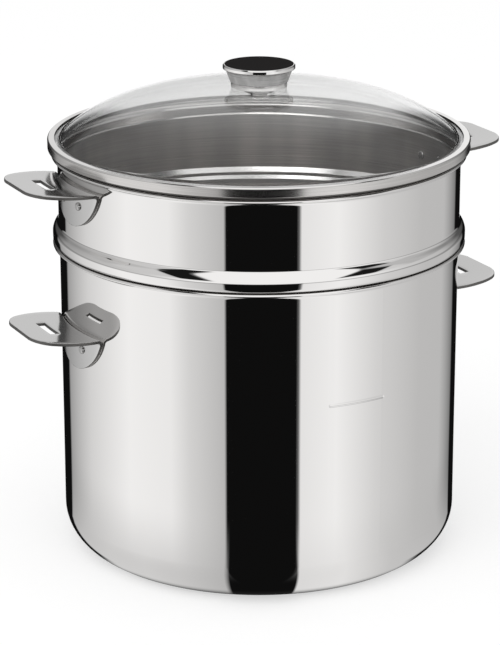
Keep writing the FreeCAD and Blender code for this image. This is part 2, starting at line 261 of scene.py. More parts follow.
# %% Who sees the tent
soft_light = 0.88
ray = tent.nodes.new("ShaderNodeLightPath")
through_glass = ray.outputs["Is Transmission Ray"]
mirrored = worked_out(tent, "SUBTRACT", ray.outputs["Is Glossy Ray"], through_glass)
once_mirrored = worked_out(tent, "MINIMUM", ray.outputs["Glossy Depth"], 1.0)
from_inside = worked_out(tent, "MULTIPLY", once_mirrored, through_glass)
mirrored = worked_out(tent, "MAXIMUM", mirrored, from_inside)
plain = mixed(tent, ray.outputs["Is Diffuse Ray"], 1.0, soft_light)
glow = tent.nodes.new("ShaderNodeBackground")
sky = tent.nodes.new("ShaderNodeOutputWorld")
join(
    tent,
    (mixed(tent, mirrored, plain, cloth), glow.inputs["Color"]),
    (glow.outputs["Background"], sky.inputs["Surface"]),
)
print("world:", world.name)

# %% [markdown]
# One large lamp over the left shoulder gives the floor a soft shadow, where a small lamp would draw a
# hard edge. It is hidden from mirror rays, because a square lamp would show in the wall.

# %% Lamp
lamp_size = 1.6
lamp_power = 12.0
lamp_place = Vector((-1.1, -0.9, 1.7))

lamp_data = bpy.data.lights.new("softbox", "AREA")
lamp_data.size = lamp_size
lamp_data.energy = lamp_power
lamp = bpy.data.objects.new("softbox", lamp_data)
lamp.location = lamp_place
lamp.rotation_euler = (-lamp_place).to_track_quat("-Z", "Y").to_euler()
lamp.visible_glossy = False
scene.collection.objects.link(lamp)
print("lamp", lamp_size, "m wide")

# %% [markdown]
# The floor is white card. It adds a little of its own white for rays from the camera, also through the
# lid, so that the picture's ground is white while the shadow stays. More light would whiten it as well,
# but it would bleach the pot too.

# %% Floor
floor_half = 8.0
floor_paint = 0.45
floor_glow = 0.58

card = bpy.data.materials.new("white_card")
card.use_nodes = True
paper = card.node_tree
paper.nodes.clear()
matt = paper.nodes.new("ShaderNodeBsdfDiffuse")
matt.inputs["Color"].default_value = as_grey(floor_paint)
shine = paper.nodes.new("ShaderNodeEmission")
look = paper.nodes.new("ShaderNodeLightPath")
seen = worked_out(paper, "MAXIMUM", look.outputs["Is Camera Ray"], look.outputs["Is Transmission Ray"])
both = paper.nodes.new("ShaderNodeAddShader")
ground = paper.nodes.new("ShaderNodeOutputMaterial")
join(
    paper,
    (worked_out(paper, "MULTIPLY", seen, floor_glow), shine.inputs["Strength"]),
    (matt.outputs["BSDF"], both.inputs[0]),
    (shine.outputs["Emission"], both.inputs[1]),
    (both.outputs["Shader"], ground.inputs["Surface"]),
)


def stage_piece(bm, name, material):
    """An object of the stage, which is no part of the pot."""
    mesh = bpy.data.meshes.new(name)
    bm.to_mesh(mesh)
    bm.free()
    mesh.materials.append(material)
    piece = bpy.data.objects.new(name, mesh)
    scene.collection.objects.link(piece)
    return piece


bm = bmesh.new()
bmesh.ops.create_grid(bm, x_segments=1, y_segments=1, size=floor_half)
floor = stage_piece(bm, "floor", card)
floor.visible_glossy = False
print("floor", 2 * floor_half, "m wide")

# %% [markdown]
# The pot's lower wall and its round corner look down on the card right beside it. A glowing ring with
# a black tongue in front stands in for that, as a painted reflection of the card. A round mirror
# gathers what it sees towards half its radius, so the ring's compass is centred there, and the
# tongue's sides run on into the black card's sides without a step. Behind the pot the ring is dark
# between two straight lines, which carry the wall's dark edges on round the corner, and next to the
# foot it holds a painted shadow, dark like the shadow under any pot.

# %% Colours of the foot's ring
ring_focus = 0.046
ring_greys = [
    (-180, 0.30), (-126, 0.32), (-100, 0.58), (-80, 0.68), (-60, 0.70), (-40, 0.64), (-17.1, 0.52),
    (-16.6, 0.005), (19.9, 0.005), (20.5, 0.80), (45, 0.86), (70, 0.62), (105, 0.52), (127, 0.24),
    (180, 0.24),
]
dark_sides = (-145, 150)
dark_edge = (-0.001, 0.002)
dark_front = (0.065, 0.045)
dark_grey = 0.005
wall_radius = 0.111
painted_contact_shadow = (0.093, 0.104)
painted_shadow_grey = 0.02
to_right = Vector((math.cos(camera_turn), math.sin(camera_turn), 0))

foot_card = bpy.data.materials.new("foot_card")
foot_card.use_nodes = True
paper = foot_card.node_tree
paper.nodes.clear()
place = paper.nodes.new("ShaderNodeTexCoord").outputs["Object"]
far = vector_result(paper, "LENGTH", place)
focused = vector_result(paper, "SUBTRACT", place, ring_focus * to_camera)
ring_colour = compass_ramp(paper, focused, ring_greys)
dark = rescaled(paper, vector_result(paper, "DOT_PRODUCT", place, to_camera), *dark_front)
for side in dark_sides:
    angle = math.radians(side)
    hand = math.copysign(1, side)
    backward = hand * (math.cos(angle) * to_right - math.sin(angle) * to_camera)
    start = wall_radius * (math.sin(angle / 2) * to_right + math.cos(angle / 2) * to_camera)
    past = vector_result(paper, "DOT_PRODUCT", place, backward)
    past = worked_out(paper, "SUBTRACT", past, start.dot(backward))
    dark = worked_out(paper, "MULTIPLY", dark, rescaled(paper, past, *dark_edge))
ring_colour = mixed(paper, dark, ring_colour, dark_grey)
# Painted shadow: the ring is dark next to the foot, where the pot's shadow would lie.
ring_colour = mixed(paper, rescaled(paper, far, *painted_contact_shadow), painted_shadow_grey, ring_colour)
print("foot card:", len(ring_greys), "stops")

# %% [markdown]
# The ring itself is two circles with a bridge between them. Only mirror rays see it, and its outer part
# fades out slowly, so that no edge of it shows in the wall.

# %% Ring of card round the foot
ring_inner = 0.050
ring_outer = 0.240
ring_fade = 0.112
ring_lift = 0.0002
ring_segments = 96

clear = paper.nodes.new("ShaderNodeBsdfTransparent")
shine = paper.nodes.new("ShaderNodeEmission")
fade = paper.nodes.new("ShaderNodeMixShader")
ground = paper.nodes.new("ShaderNodeOutputMaterial")
join(
    paper,
    (ring_colour, shine.inputs["Color"]),
    (rescaled(paper, far, ring_fade, ring_outer), fade.inputs["Fac"]),
    (shine.outputs["Emission"], fade.inputs[1]),
    (clear.outputs["BSDF"], fade.inputs[2]),
    (fade.outputs["Shader"], ground.inputs["Surface"]),
)
bm = bmesh.new()
for radius in (ring_outer, ring_inner):
    lifted = Matrix.Translation((0, 0, ring_lift))
    bmesh.ops.create_circle(bm, segments=ring_segments, radius=radius, matrix=lifted)
bmesh.ops.bridge_loops(bm, edges=bm.edges)
foot_ring = stage_piece(bm, "foot_ring", foot_card)
for unseen in ("camera", "diffuse", "transmission", "shadow"):
    setattr(foot_ring, "visible_" + unseen, False)
print("card ring out to", ring_outer, "m")

# %% [markdown]
# Stainless steel shows several finishes on this pot. The outside is polished to a mirror, the inside is
# brushed round and round, the handles are satin, and the steps of the basket, the lid's band and the
# knob's cone lie between them. All are the same metal, so one helper makes them, and only the colour,
# the roughness and the grain differ. The grain is a noise texture that is squeezed along one axis until
# its spots become lines. Brushed steel spreads light across its lines, so there the shader's
# anisotropy is turned a quarter. Edges that were only cut, and faces that no wheel could reach, stay
# dull, and their very dark colour is painted shade, which darkens seams, gaps and cut edges.

# %% Metal helpers
quarter_turn = 0.25
noise_ends = (0.3, 0.7)
line_detail = 4.0
painted_sheen_detail = 1.0


def set_shader(material, values):
    """Set sockets of a material's Principled shader by their names."""
    shader = material.node_tree.nodes["Principled BSDF"]
    for socket, value in values.items():
        shader.inputs[socket].default_value = value


def grain_noise(tree, grain, detail):
    """A noise on Object coordinates, stretched by the grain's scales, as a socket."""
    place = tree.nodes.new("ShaderNodeTexCoord")
    stretch = tree.nodes.new("ShaderNodeMapping")
    stretch.inputs["Scale"].default_value = grain
    lines = tree.nodes.new("ShaderNodeTexNoise")
    lines.inputs["Scale"].default_value = 1.0
    lines.inputs["Detail"].default_value = detail
    join(
        tree,
        (place.outputs["Object"], stretch.inputs["Vector"]),
        (stretch.outputs["Vector"], lines.inputs["Vector"]),
    )
    return lines.outputs["Fac"]


def metal(name, colour, smoothest, roughest, grain, bump_height=0.0, turned=0.0, streaks=0.0):
    """Procedural metal whose roughness follows a stretched noise, and its colour by a share."""
    material = bpy.data.materials.new(name)
    material.use_nodes = True
    tree = material.node_tree
    shader = tree.nodes["Principled BSDF"]
    set_shader(material, {
        "Base Color": (*colour, 1), "Metallic": 1.0,
        "Anisotropic": turned, "Anisotropic Rotation": quarter_turn,
    })
    lines = grain_noise(tree, grain, line_detail)
    depth = tree.nodes.new("ShaderNodeMapRange")
    depth.inputs["To Min"].default_value = smoothest
    depth.inputs["To Max"].default_value = roughest
    join(tree, (lines, depth.inputs["Value"]), (depth.outputs["Result"], shader.inputs["Roughness"]))
    if streaks:
        tint = tree.nodes.new("ShaderNodeValToRGB")
        shares = (1 - streaks, 1 + streaks)
        for stop, noise_end, share in zip(tint.color_ramp.elements, noise_ends, shares):
            stop.position = noise_end
            stop.color = (*(channel * share for channel in colour), 1)
        join(tree, (lines, tint.inputs["Fac"]), (tint.outputs["Color"], shader.inputs["Base Color"]))
    if turned:
        along = tree.nodes.new("ShaderNodeTangent")
        along.direction_type = "RADIAL"
        along.axis = "Z"
        join(tree, (along.outputs["Tangent"], shader.inputs["Tangent"]))
    if bump_height:
        bump = tree.nodes.new("ShaderNodeBump")
        bump.inputs["Distance"].default_value = bump_height
        bump.inputs["Strength"].default_value = 1.0
        join(tree, (lines, bump.inputs["Height"]), (bump.outputs["Normal"], shader.inputs["Normal"]))
    return material


def painted_sheen_bands(finish, grain, dark, light):
    """Paint soft upright stripes of sheen into a finish's streaked colour, between a dark and a light
    share.
    """
    tree = finish.node_tree
    colour = tree.nodes["Principled BSDF"].inputs["Base Color"]
    streaked = colour.links[0].from_socket
    noise = grain_noise(tree, grain, painted_sheen_detail)
    # Painted sheen: a soft noise between the dark and the light share.
    sheen_shares = mixed(tree, rescaled(tree, noise, *noise_ends), dark, light)
    join(tree, (mixed(tree, 1.0, streaked, sheen_shares, "MULTIPLY"), colour))


# %% [markdown]
# With the helpers each finish is a line of numbers: its colour, its smoothest and roughest spots and
# its grain. The brushed inside and the turned knob also get faint upright light and dark bands in their
# colour: painted reflections, like those that a round brushed wall shows of a room.

# %% Metal finishes
round_the_pot = (12, 12, 900)
fine_lines = (18, 18, 1500)
even_grain = (700, 700, 700)
wall_sheen_bands = (48, 48, 1.5)
knob_sheen_bands = (190, 190, 4)
polished = metal("polished_steel", (0.865, 0.853, 0.843), 0.01, 0.035, round_the_pot)
brushed = metal("brushed_steel", (0.43, 0.395, 0.37), 0.40, 0.56, fine_lines, 0.00001, 0.8, 0.16)
set_shader(brushed, {"Metallic": 0.9, "Specular Tint": (0.35, 0.34, 0.33, 1)})
# Painted sheen: soft upright light and dark bands in the brushed colour.
painted_sheen_bands(brushed, wall_sheen_bands, 0.78, 1.2)
burnished = metal("burnished_steel", (0.93, 0.92, 0.91), 0.18, 0.26, fine_lines)
rolled = metal("rolled_steel", (0.66, 0.645, 0.63), 0.12, 0.22, fine_lines, 0.0, 0.0, 0.08)
satin = metal("satin_steel", (0.66, 0.655, 0.65), 0.08, 0.16, even_grain)
bright = metal("rivet_steel", (0.50, 0.495, 0.49), 0.08, 0.16, even_grain)
turned_steel = metal("turned_steel", (0.95, 0.945, 0.94), 0.22, 0.36, fine_lines, 0.0, 0.0, 0.04)
set_shader(turned_steel, {"Metallic": 0.3})
# Painted sheen: soft upright light and dark bands in the knob cone's colour.
painted_sheen_bands(turned_steel, knob_sheen_bands, 0.80, 1.05)
# Dull steel so dark that its colour is painted shade for seams, gaps and cut edges.
dull_painted_shade = metal("unpolished_steel_painted_shade", (0.16, 0.155, 0.15), 0.40, 0.55, even_grain)
core_metal = metal("core_aluminium", (0.85, 0.86, 0.88), 0.35, 0.5, even_grain)
finishes = (polished, brushed, burnished, rolled, satin, bright, turned_steel, dull_painted_shade, core_metal)
print("metals:", ", ".join(finish.name for finish in finishes))

# %% [markdown]
# The lid is clear toughened glass. Real thickness and a real index of refraction do most of the work,
# and a trace of roughness keeps it from looking like nothing at all. The knob's top is a dark disc,
# turned in fine rings, and the washers are pale silicone.

# %% Glass, inlay and silicone
def dressed(name, colour, smoothest, roughest, grain, bump_height):
    """Procedural non-metal: a colour with a little noise in its roughness and its surface."""
    material = metal(name, colour, smoothest, roughest, grain, bump_height)
    set_shader(material, {"Metallic": 0.0})
    return material


fine_rings = (1500, 1500, 40)
glass = dressed("clear_glass", (0.98, 0.982, 0.98), 0.0, 0.012, even_grain, 0.0)
set_shader(glass, {"Transmission Weight": 1.0, "IOR": 1.5})
inlay_black = dressed("dark_inlay", (0.018, 0.017, 0.017), 0.35, 0.5, fine_rings, 0.00001)
set_shader(inlay_black, {"Specular IOR Level": 0.0})
silicone = dressed("silicone", (0.42, 0.415, 0.40), 0.5, 0.7, even_grain, 0.00003)
print("other finishes:", glass.name, inlay_black.name, silicone.name)

# %% [markdown]
# Nearly every piece is round, so one helper carries the lesson. It draws half a cross-section as a
# wire of a few corners, rounds each corner with a vertex bevel, and spins the wire once about the
# pot's axis. A spin could also be a Screw modifier, but the operator leaves a plain mesh. Two extra
# points close to the ends of each straight run keep its mirror image straight: without them the
# smooth shading would bend the whole wall.

# %% Turning a profile
corner_step = math.radians(6)
support = 0.25 * mm
long_run = 12 * support
least_round = 0.05 * mm
wall_steps = 192


def round_corner(bm, corner, rounding):
    """Replace a wire's corner by an arc of the given radius."""
    one, other = (edge.other_vert(corner).co - corner.co for edge in corner.link_edges)
    opening = one.angle(other)
    bmesh.ops.bevel(
        bm, geom=[corner], offset=rounding / math.tan(opening / 2), affect="VERTICES",
        segments=max(3, round((math.pi - opening) / corner_step)), profile=0.5, material=-1,
    )


def support_run(run):
    """Add a point close to each end of a long straight edge."""
    if run.calc_length() > long_run:
        for end in list(run.verts):
            longest = max(end.link_edges, key=lambda edge: edge.calc_length())
            bmesh.utils.edge_split(longest, end, support / longest.calc_length())


def spin_once(bm, wire, steps):
    """Spin a wire once round the pot's axis."""
    bmesh.ops.spin(
        bm, geom=wire, cent=(0, 0, 0), axis=(0, 0, 1), dvec=(0, 0, 0), angle=math.tau, steps=steps,
        use_merge=True, use_duplicate=False,
    )


def turn(bm, corners, steps=wall_steps, finish=0, closed=False):
    """Spin a wire of (radius, height, rounding) corners once round the axis."""
    old_verts, old_edges, old_faces = set(bm.verts), set(bm.edges), set(bm.faces)
    points = [bm.verts.new((corner[0], 0, corner[1])) for corner in corners]
    for start, end in zip(points, points[1:] + points[:1] if closed else points[1:]):
        bm.edges.new((start, end))
    for point, corner in zip(points, corners):
        if len(corner) > 2 and corner[2] > 0:
            round_corner(bm, point, corner[2])
    for run in [edge for edge in bm.edges if edge not in old_edges]:
        support_run(run)
    wire = [v for v in bm.verts if v not in old_verts] + [e for e in bm.edges if e not in old_edges]
    spin_once(bm, wire, steps)
    for face in bm.faces:
        if face not in old_faces:
            face.material_index = finish


def beside(corners, gap):
    """The corners of a line that runs a gap to the left of another, with concentric roundings."""
    moved = []
    for index, corner in enumerate(corners):
        here = Vector(corner[:2])
        ways = []
        if index > 0:
            ways.append((here - Vector(corners[index - 1][:2])).normalized())
        if index < len(corners) - 1:
            ways.append((Vector(corners[index + 1][:2]) - here).normalized())
        lefts = [Vector((-way.y, way.x)) for way in ways]
        aside = (lefts[0] + lefts[-1]) * gap / (1 + lefts[0].dot(lefts[-1]))
        rounding = corner[2] if len(corner) > 2 else 0
        if rounding:
            turns_left = ways[0].x * ways[-1].y > ways[0].y * ways[-1].x
            rounding = max(rounding - gap if turns_left else rounding + gap, least_round)
        moved.append((here.x + aside.x, here.y + aside.y, rounding))
    return moved


print("corner arcs in steps of", round(math.degrees(corner_step)), "degrees")

# %% [markdown]
# A finished bmesh becomes an object here: points that coincide are merged, the faces are turned
# outwards and shaded smooth, and edges that are really sharp are marked so. Each piece rides on a body
# of the frame and hides the CAD node that it stands for.

# %% Finishing a piece
weld_distance = 0.002 * mm
sharp_angle = math.radians(32)


def finish_shape(bm):
    """Weld, turn the faces outwards, shade smooth and mark the sharp edges."""
    bmesh.ops.remove_doubles(bm, verts=bm.verts, dist=weld_distance)
    bmesh.ops.recalc_face_normals(bm, faces=bm.faces)
    for face in bm.faces:
        face.smooth = True
    for edge in bm.edges:
        edge.smooth = edge.calc_face_angle(math.pi) < sharp_angle


def make_piece(bm, name, body, finishes, stands_for):
    """Finish a bmesh and make it an object that rides on a body and stands for a CAD node."""
    finish_shape(bm)
    mesh = bpy.data.meshes.new(name)
    bm.to_mesh(mesh)
    bm.free()
    for finish in finishes:
        mesh.materials.append(finish)
    piece = bpy.data.objects.new(name, mesh)
    scene.collection.objects.link(piece)
    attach(piece, body)
    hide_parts(stands_for)
    print(name, len(mesh.polygons), "faces")


def radius_of(node):
    """Largest radius of a round CAD node on the pot's axis."""
    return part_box(node)[1].x


def foot_of(node):
    """Lowest height of a CAD node."""
    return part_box(node)[0].z


def top_of(node):
    """Highest height of a CAD node."""
    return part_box(node)[1].z


# %% [markdown]
# The pot is drawn from one sheet. Its wall flares into a pouring rim at the top and runs through a
# large round corner into the floor. The inside is turned first and cut level with the floor, then the
# outside is turned and cut at the seam of the base. The lip's upper edge has a large rounding: it is
# the bright line that runs round the pot under the insert. A cylinder could be extruded step by step,
# but two turned paths hold the whole section. Each turned part has the number of its finish.

# %% Pot body
sheet = 0.8 * mm
rim_reach = 3.6 * mm
rim_flare = 2.4 * mm
rim_lip = 1.6 * mm
lip_round = 1.2 * mm
lip_under = 0.25 * mm
crest_width = 1.55 * mm
bottom_corner = 23 * mm
floor_bend = 4 * mm
floor_bend_segments = 6
brushed_finish = 1
level_slack = sheet / 4
cut_distance = weld_distance / 4

pot_rim = radius_of("pot_shell")
pot_top = top_of("pot_shell")
base_seam = foot_of("pot_shell")
pot_wall = pot_rim - rim_reach
pot_inside = pot_wall - sheet
pot_floor = base_seam + sheet


def close_level(bm, height):
    """Fill the round opening that a level cut left at a height: the disc and its edges."""
    rim = [
        edge for edge in bm.edges
        if edge.is_boundary and all(abs(v.co.z - height) < level_slack for v in edge.verts)
    ]
    disc = bmesh.ops.edgeloop_fill(bm, edges=rim)["faces"]
    return disc, rim


def cut_level(bm, height, keep_above):
    """Cut everything at a height and keep one side."""
    everything = list(bm.verts) + list(bm.edges) + list(bm.faces)
    bmesh.ops.bisect_plane(
        bm, geom=everything, dist=cut_distance, plane_co=(0, 0, height), plane_no=(0, 0, 1),
        clear_inner=keep_above, clear_outer=not keep_above,
    )


def rim_path(wall, rim, top):
    """Corners of a flared rim, from the wall under the lip to the flat on top of it."""
    lip = top - rim_lip
    return [
        (wall, lip, rim_flare), (rim, lip, lip_under), (rim, top, lip_round), (rim - crest_width, top),
    ]


bm = bmesh.new()
turn(bm, [
    (pot_rim - crest_width, pot_top),
    (pot_inside, pot_top, rim_flare),
    (pot_inside, sheet, bottom_corner - sheet),
    (0, sheet),
], finish=brushed_finish)
cut_level(bm, pot_floor, True)
disc, floor_edge = close_level(bm, pot_floor)
disc[0].material_index = brushed_finish
bmesh.ops.bevel(
    bm, geom=floor_edge, offset=floor_bend, segments=floor_bend_segments, profile=0.5,
    affect="EDGES", material=-1,
)
turn(bm, [(0, 0), (pot_wall, 0, bottom_corner)] + rim_path(pot_wall, pot_rim, pot_top))
cut_level(bm, base_seam, True)
close_level(bm, base_seam)
print("pot sheet", len(bm.faces), "faces")

# %% [markdown]
# A short level mark is pressed into the front of the pot, as a groove with round ends. The wall's faces
# are too tall to dent, so the patch round the mark is first cut into narrow strips. Then each point is
# pushed in by its distance from the groove's middle line.

# %% Level mark
mark_half = 16 * mm
mark_width = 2.6 * mm
mark_depth = 0.2 * mm
mark_level = 113.3 * mm
mark_turn = math.radians(-88.5)
mark_margin = 5 * mm
mark_strip = mark_width / 16
strips_up = 12
strips_past_end = 8


def along_wall(point):
    """Distance of a point from the mark's middle, measured along the wall."""
    around = math.atan2(point.y, point.x) - mark_turn
    return ((around + math.pi) % math.tau - math.pi) * pot_wall


def mark_patch(bm):
    """Faces of the outer wall round the mark, with their edges and points."""
    faces = [
        face for face in bm.faces
        if abs(face.calc_center_median().to_2d().length - pot_wall) < level_slack
        and abs(along_wall(face.calc_center_median())) < mark_half + mark_margin
        and min(v.co.z for v in face.verts) < mark_level + mark_width
        and max(v.co.z for v in face.verts) > mark_level - mark_width
    ]
    edges = dict.fromkeys(edge for face in faces for edge in face.edges)
    points = dict.fromkeys(point for face in faces for point in face.verts)
    return list(points) + list(edges) + faces


def slice_patch(bm, level, across):
    """Cut the patch along one plane through a level of the axis."""
    bmesh.ops.bisect_plane(
        bm, geom=mark_patch(bm), dist=cut_distance, plane_co=(0, 0, level), plane_no=across,
    )


for strip in range(-strips_up, strips_up + 1):
    slice_patch(bm, mark_level + mark_strip * strip, (0, 0, 1))
for end in (-1, 1):
    for strip in range(-strips_past_end, strips_past_end + 1):
        around = mark_turn + (end * mark_half + mark_strip * strip) / pot_wall
        slice_patch(bm, 0, (-math.sin(around), math.cos(around), 0))
for point in {item for item in mark_patch(bm) if isinstance(item, bmesh.types.BMVert)}:
    past_end = max(abs(along_wall(point.co)) - mark_half, 0)
    away = math.hypot(past_end, point.co.z - mark_level) / (mark_width / 2)
    if away < 1:
        push = 1 - mark_depth * (1 + math.cos(math.pi * away)) / 2 / pot_wall
        point.co.x *= push
        point.co.y *= push
make_piece(bm, "pot_body", "pot", [polished, brushed], "pot_shell")

# %% [markdown]
# Under the floor a steel dish closes in an aluminium disc. The dish carries the pot's round corner
# down to the flat underside. It could be cut from the pot, but a sheet of its own is simpler: both faces
# are turned on the pot's own arcs, cut at the seam and bridged there. The aluminium disc does not show,
# so it keeps its CAD mesh and only gets its metal.

# %% Base dish and core
cap_sheet = 0.6 * mm
bm = bmesh.new()
turn(bm, [(0, 0), (pot_wall, 0, bottom_corner), (pot_wall, bottom_corner)])
turn(bm, [
    (0, cap_sheet), (pot_wall - cap_sheet, cap_sheet, bottom_corner - cap_sheet),
    (pot_wall - cap_sheet, bottom_corner),
])
cut_level(bm, base_seam, False)
bmesh.ops.bridge_loops(bm, edges=[e for e in bm.edges if e.is_boundary])
make_piece(bm, "base_dish", "pot", [polished], "base_cap")

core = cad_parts["base_core"]
core.data.materials.clear()
core.data.materials.append(core_metal)

# %% [markdown]
# The insert's collar is the wall that stands above the pot. From the neck that hangs into the pot its
# sheet runs out to a rolled bead, which sits on the pot's rim, runs back to the wall in a soft hollow
# and ends in the same flared rim. The inner face runs one sheet inside the outer one, so only one path
# is drawn. It is brushed above the bead and bright in it. Under the bead the outside gets the dark dull
# steel as painted shade, so that the seam with the pot's rim is dark.

# %% Insert collar
collar_step = 0.35 * mm
seat_gap = 0.3 * mm
neck_gap = 0.6 * mm
bead_reach = 3.25 * mm
bead_round = 2.2 * mm
crest_round = 5.5 * mm
crease_round = 3.0 * mm
roll_turn = math.radians(48)
crest_rise = 4.8 * mm
seam_shade_rise = 0.7 * mm
bead_finish = 2
seam_shade_finish = 3

collar_top = top_of("insert_collar")
collar_foot = foot_of("insert_collar")
collar_wall = pot_wall + collar_step
collar_rim = radius_of("insert_collar")
seat = pot_top + seat_gap
neck = pot_inside - neck_gap
bead = collar_wall + bead_reach
roll_corner = seat + crest_rise + crest_round * math.tan(roll_turn / 2)
crease_level = roll_corner + bead_reach / math.tan(roll_turn)
bead_top = crease_level + (crease_round + sheet) * math.tan(roll_turn / 2) + support

outer = [
    (neck, collar_foot),
    (neck, seat, bead_round / 2),
    (bead, seat, bead_round),
    (bead, roll_corner, crest_round),
    (collar_wall, crease_level, crease_round),
    (collar_wall, collar_top),
]
inner = beside(outer, sheet)
bm = bmesh.new()
turn(bm, outer[:-1] + rim_path(collar_wall, collar_rim, collar_top))
turn(bm, [
    (collar_rim - crest_width, collar_top), (collar_wall - sheet, collar_top, rim_flare),
    (collar_wall - sheet, bead_top),
], finish=brushed_finish)
turn(bm, [(collar_wall - sheet, bead_top)] + inner[-2::-1] + outer[:1], finish=bead_finish)
# Painted shade: the outside just under the bead gets the dark dull steel, so the seam looks dark.
for face in bm.faces:
    if face.material_index == 0 and face.calc_center_median().z < seat + seam_shade_rise:
        face.material_index = seam_shade_finish
make_piece(
    bm, "collar", "insert", [polished, brushed, bright, dull_painted_shade], "insert_collar",
)

# %% [markdown]
# The strainer basket hangs below the collar. It is a brushed cup, lapped into the collar's neck, with
# staggered rows of round holes in its wall and rings of them in its floor. Its upper edge runs on past
# the bead in two bright steps and a plain edge, which show through the lid. Each corner of the steps is
# a rise above the seat, in mm, and a share of the way out from the lap. The cup is turned like the
# rest, and every hole gets a short rod to be punched with.

# %% Basket cup and hole rods
basket_gap = 3.6 * mm
basket_corner = 12 * mm
shoulder_drop = 3 * mm
hole_radius = 3 * mm
hole_rows = 5
hole_columns = 20
hole_margin = 12 * mm
floor_rings = 3
holes_per_ring = 6
floor_hole_span = 81 * mm
rod_length = 10 * mm
rod_segments = 24
basket_steps = 160
flange_gap = 0.05 * mm
flange_steps = ((-1.0, 0.0), (3.0, -0.7), (6.6, -0.7), (8.8, 0.0), (10.9, 0.0), (14.2, 1.0))
flange_round = 0.8 * mm
flange_rise = 21.5 * mm

basket_floor = foot_of("strainer_basket")
basket_wall = pot_inside - basket_gap
lap = radius_of("strainer_basket")
shoulder_top = collar_foot - shoulder_drop
shoulder_foot = shoulder_top - (lap - basket_wall)

flange = collar_wall - sheet - flange_gap
cup_path = [
    (0, basket_floor),
    (basket_wall, basket_floor, basket_corner),
    (basket_wall, shoulder_foot, bead_round),
    (lap, shoulder_top, bead_round),
]
for rise, share in flange_steps:
    cup_path.append((lap + (flange - lap) * share, seat + rise * mm, flange_round))
cup_path.append((flange, seat + flange_rise))
bm = bmesh.new()
turn(bm, cup_path + beside(cup_path, sheet)[::-1], steps=basket_steps)
finish_shape(bm)
cup_mesh = bpy.data.meshes.new("cup")
bm.to_mesh(cup_mesh)
bm.free()

rods = bmesh.new()


def add_rod(place, turned, upright):
    """Add one hole rod, standing for the floor or lying along the radius for the wall."""
    tilt = Matrix.Identity(4) if upright else Matrix.Rotation(math.pi / 2, 4, "Y")
    bmesh.ops.create_cone(
        rods, cap_ends=True, segments=rod_segments, radius1=hole_radius, radius2=hole_radius,
        depth=rod_length, matrix=Matrix.Rotation(turned, 4, "Z") @ Matrix.Translation(place) @ tilt,
    )


lowest_row = basket_floor + basket_corner + hole_margin
row_pitch = (shoulder_foot - hole_margin - lowest_row) / (hole_rows - 1)
for row in range(hole_rows):
    for column in range(hole_columns):
        around = math.tau * (column + row % 2 / 2) / hole_columns
        add_rod((basket_wall, 0, lowest_row + row * row_pitch), around, False)
for ring in range(floor_rings + 1):
    holes = max(holes_per_ring * ring, 1)
    for step in range(holes):
        add_rod((floor_hole_span * ring / floor_rings, 0, basket_floor), math.tau * step / holes, True)
rod_mesh = bpy.data.meshes.new("hole_rods")
rods.to_mesh(rod_mesh)
rods.free()
print("cup", len(cup_mesh.polygons), "faces,", len(rod_mesh.polygons), "faces of rods")

# %% [markdown]
# The real holes are punched. A Boolean modifier subtracts all rods at once, which is quicker than one
# modifier for each hole. Its result is read back as a plain mesh, so neither modifier nor cutter stays
# in the file. The steps above the seat get the burnished finish.

# %% Punched basket
bright_top = seat + flange_steps[-1][0] * mm
burnished_finish = 1
cup = bpy.data.objects.new("cup", cup_mesh)
rod_object = bpy.data.objects.new("hole_rods", rod_mesh)
for helper in (cup, rod_object):
    scene.collection.objects.link(helper)
punch = cup.modifiers.new("punch", "BOOLEAN")
punch.operation = "DIFFERENCE"
punch.solver = "EXACT"
punch.object = rod_object
bpy.context.view_layer.update()
punched = bpy.data.meshes.new_from_object(cup.evaluated_get(bpy.context.evaluated_depsgraph_get()))
bm = bmesh.new()
bm.from_mesh(punched)
for helper in (cup, rod_object):
    bpy.data.objects.remove(helper)
for leftover in (cup_mesh, rod_mesh, punched):
    bpy.data.meshes.remove(leftover)
for face in bm.faces:
    if seat < face.calc_center_median().z < bright_top:
        face.material_index = burnished_finish
make_piece(bm, "basket", "insert", [brushed, burnished], "strainer_basket")

# %% [markdown]
# Each handle is one bent plate: a rounded tongue that follows the wall, a fold, and a slotted grip.
# A maker cuts a flat blank, punches the slot and folds it. The mesh follows that: a grid is the
# blank, each row of it gets its place along the section and its half width from the outline, and
# then the sheet gets its thickness and soft edges.

# %% Handle blank
handle_sheet = 1.8 * mm
handle_skin = 0.05 * mm
handle_reach = 33.2 * mm
handle_root = 55 * mm / 2
handle_belly = 61 * mm / 2
handle_widest = 13 * mm
handle_end = 40 * mm / 2
handle_corner = 7 * mm
handle_fold = 3.5 * mm
handle_tilt = math.radians(5)
tongue_depth = 22.5 * mm
slot_distance = 17.2 * mm
slot_half_width = 5 * mm / 2
slot_half_length = 21 * mm / 2
edge_round = 0.3 * mm
slot_columns = 6
side_columns = 5
tongue_rows = 16
fold_rows = 8
root_rows = 5
end_rows = 3
corner_rows = 8


def evenly(start, end, count):
    """Places at even steps from a start to an end, without the start."""
    return [start + (end - start) * step / count for step in range(1, count + 1)]


def circle_through(one, two, three):
    """Centre and radius of the circle through three points of a plane."""
    a, b = Vector(two) - Vector(one), Vector(three) - Vector(one)
    across = 2 * (a.x * b.y - a.y * b.x)
    centre = Vector(one) + Vector((b.y * a.length_squared - a.y * b.length_squared,
                                   a.x * b.length_squared - b.x * a.length_squared)) / across
    return centre, (Vector(one) - centre).length


